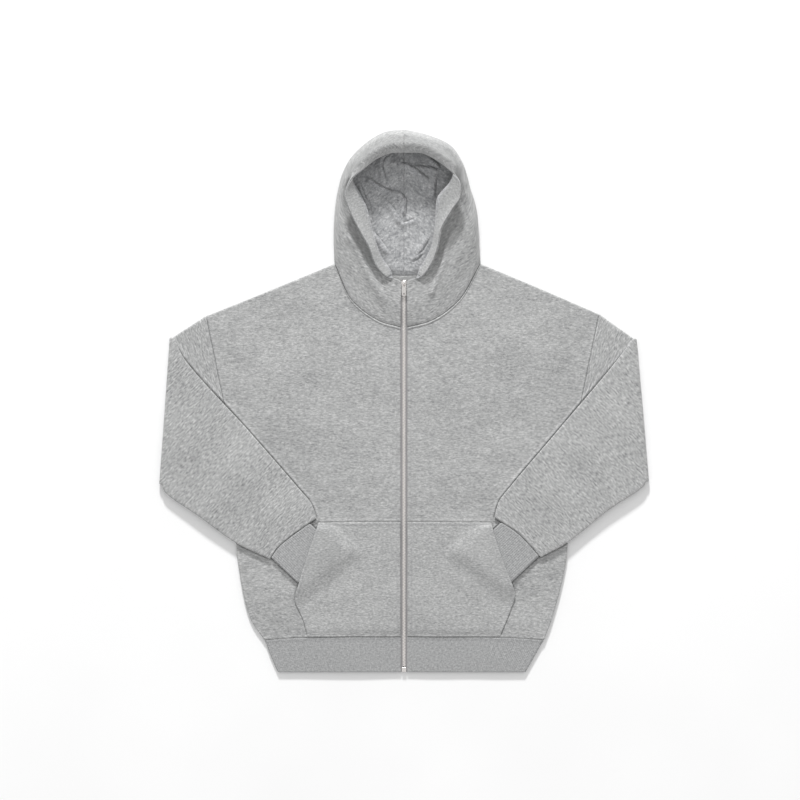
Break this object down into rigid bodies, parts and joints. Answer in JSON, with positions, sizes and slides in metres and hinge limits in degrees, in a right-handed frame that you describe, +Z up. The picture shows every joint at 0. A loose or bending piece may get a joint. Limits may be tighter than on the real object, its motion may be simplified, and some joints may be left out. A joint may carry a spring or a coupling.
{
  "type": "zip up hoodie laid flat",
  "caption": "Zip up hoodie in knitted fabric, laid flat on its back with the hood open upwards, sleeves folded over the front and cuffs in the pocket.",
  "frame": {"origin": "on the surface that the back lies on, under the middle of the garment's outline", "axes": "+Y from the hem towards the hood, +X towards the wearer's left, +Z up out of the front"},
  "size_m": [0.8412, 0.9326, 0.053],
  "materials": {
    "marl": "brushed knit, grey marl",
    "rib": "rib knit, grey marl",
    "zip_tape": "woven tape with silver teeth",
    "zip_metal": "polished"
  },
  "bodies": {
    "garment": {"back": "marl", "front_left": "marl", "front_right": "marl", "sleeve_left": "marl", "sleeve_right": "marl", "pocket_left": "marl", "pocket_right": "marl", "hood_left": "marl", "hood_right": "marl", "hood_hem_left": "marl", "hood_hem_right": "marl", "waistband": "rib", "cuff_left": "rib", "cuff_right": "rib", "zip_left": "zip_tape", "zip_right": "zip_tape", "zip_slider": "zip_metal", "zip_box": "zip_metal"},
    "pull": {"zip_pull": "zip_metal"}
  },
  "joints": [
    {"name": "pull_hinge", "type": "hinge", "parent": "garment", "child": "pull", "pos_m": [0, 0.20328, 0.01475], "axis": [-1, 0, 0], "range_deg": [0, 165]}
  ]
}
